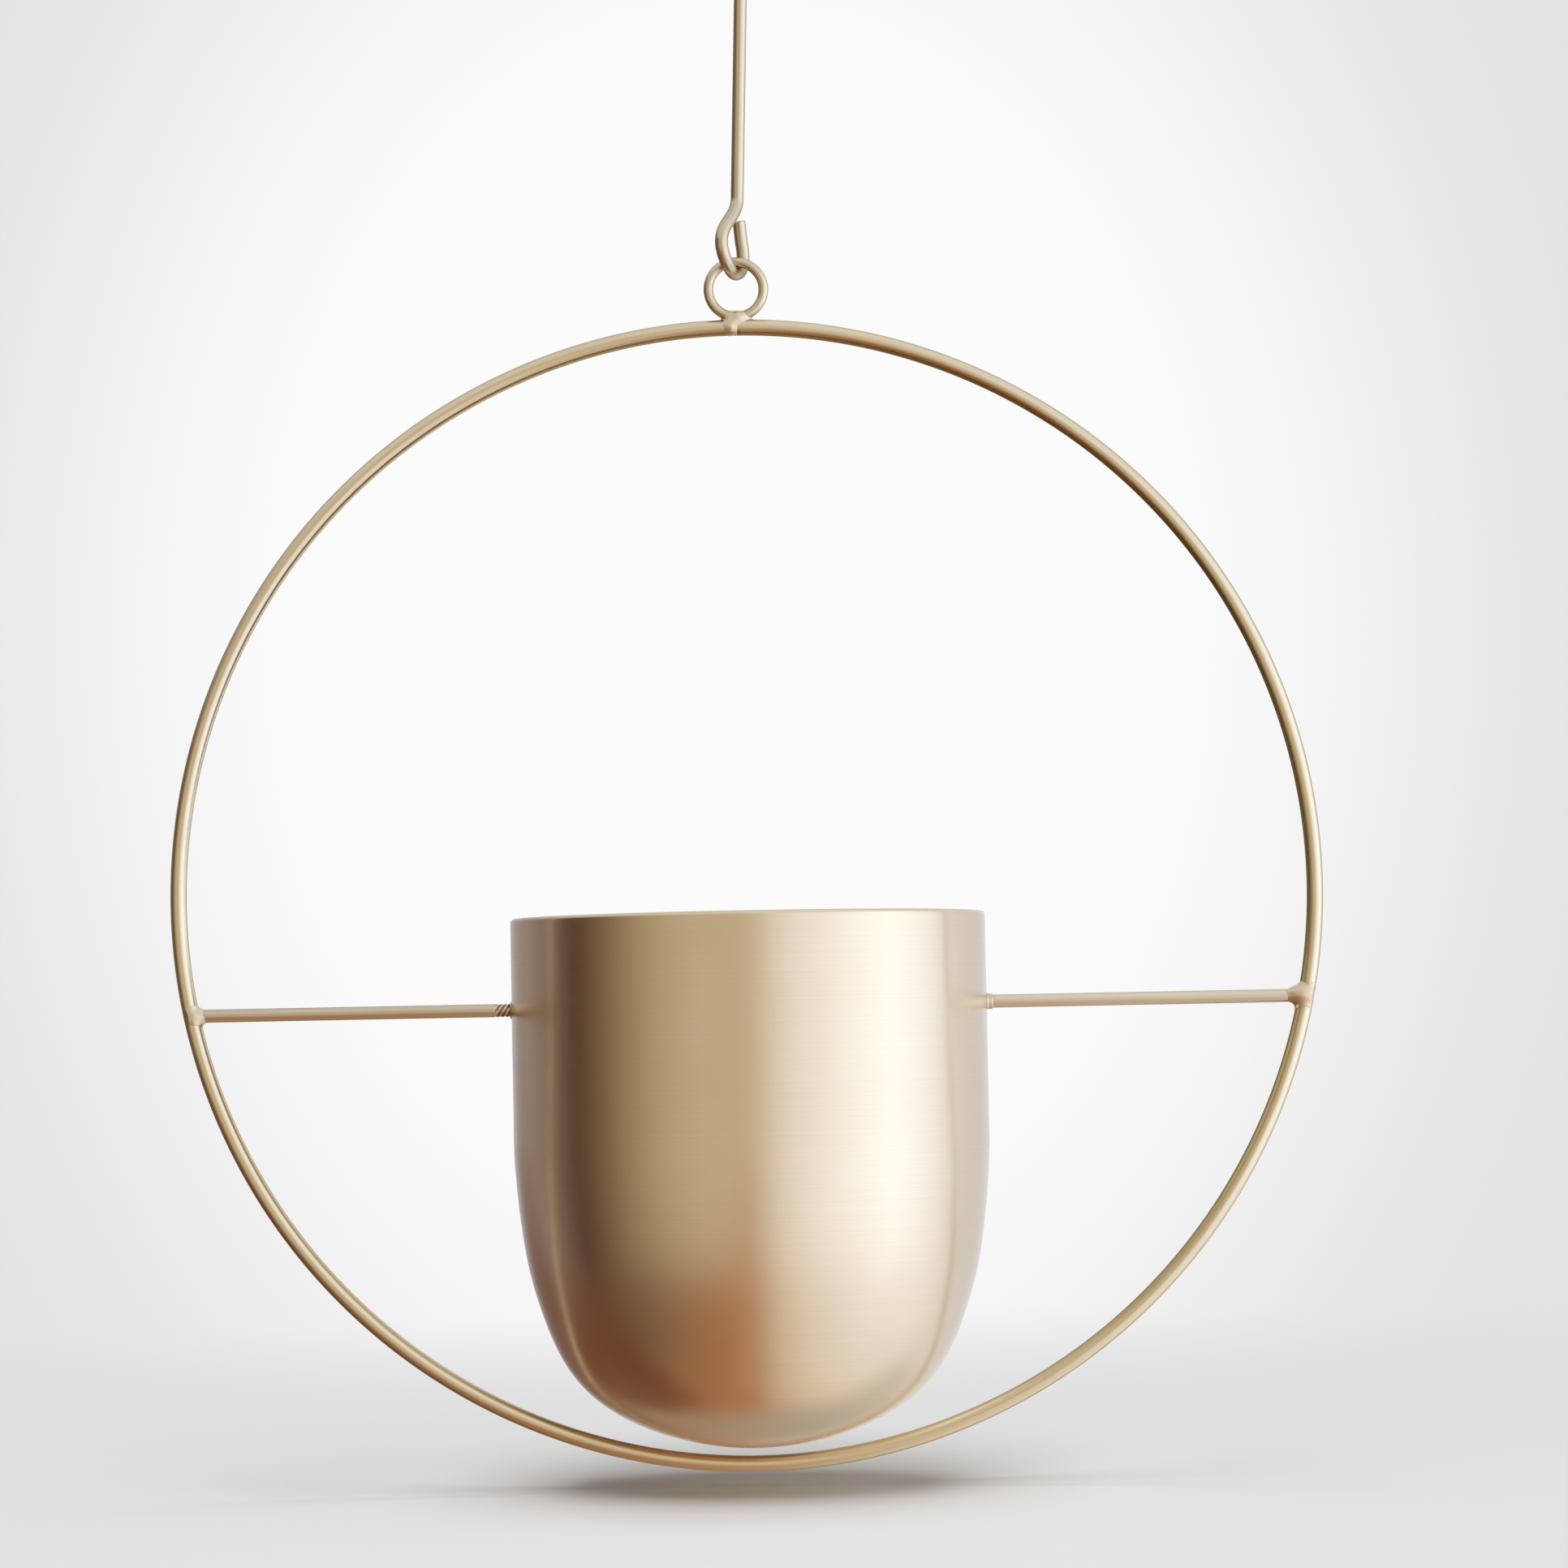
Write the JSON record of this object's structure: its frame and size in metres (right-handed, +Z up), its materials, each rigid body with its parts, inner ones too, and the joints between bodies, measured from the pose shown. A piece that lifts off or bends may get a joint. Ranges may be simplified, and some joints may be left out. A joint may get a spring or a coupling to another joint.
{
  "type": "hanging planter pot",
  "caption": "Round brass planter pot that tilts on two arms across a wire hoop, hung by a welded eye from a long wire hanger with a hook at each end.",
  "frame": {"origin": "bearing point inside the hanger's upper hook, on the planter's vertical axis", "axes": "+Z up, +X along the two arms to the right seen from the front, +Y from the front to the back"},
  "size_m": [0.355, 0.146, 0.5252],
  "materials": {
    "wire": "satin champagne brass, drawn wire",
    "weld": "satin brass solder, dressed by hand",
    "fixing": "bright brass, turned",
    "pot": "satin champagne brass, spun",
    "boss": "satin brass, turned",
    "seal": "matt black rubber"
  },
  "bodies": {
    "hanger": {"hanger_rod": "wire"},
    "frame": {"hoop": "wire", "eye_ring": "wire", "eye_weld": "weld", "left_arm": "wire", "right_arm": "wire", "left_arm_weld": "weld", "right_arm_weld": "weld", "left_washer": "fixing", "right_washer": "fixing", "left_nut": "fixing", "right_nut": "fixing"},
    "pot": {"pot_shell": "pot", "left_boss": "boss", "right_boss": "boss", "left_seal": "seal", "right_seal": "seal"}
  },
  "joints": [
    {"name": "hoop_swing", "type": "hinge", "parent": "hanger", "child": "frame", "pos_m": [0, 0, -0.152], "axis": [0, 1, 0], "range_deg": [-25, 25]},
    {"name": "pot_tilt", "type": "hinge", "parent": "frame", "child": "pot", "pos_m": [0, 0, -0.3786], "axis": [1, 0, 0], "continuous": true}
  ]
}
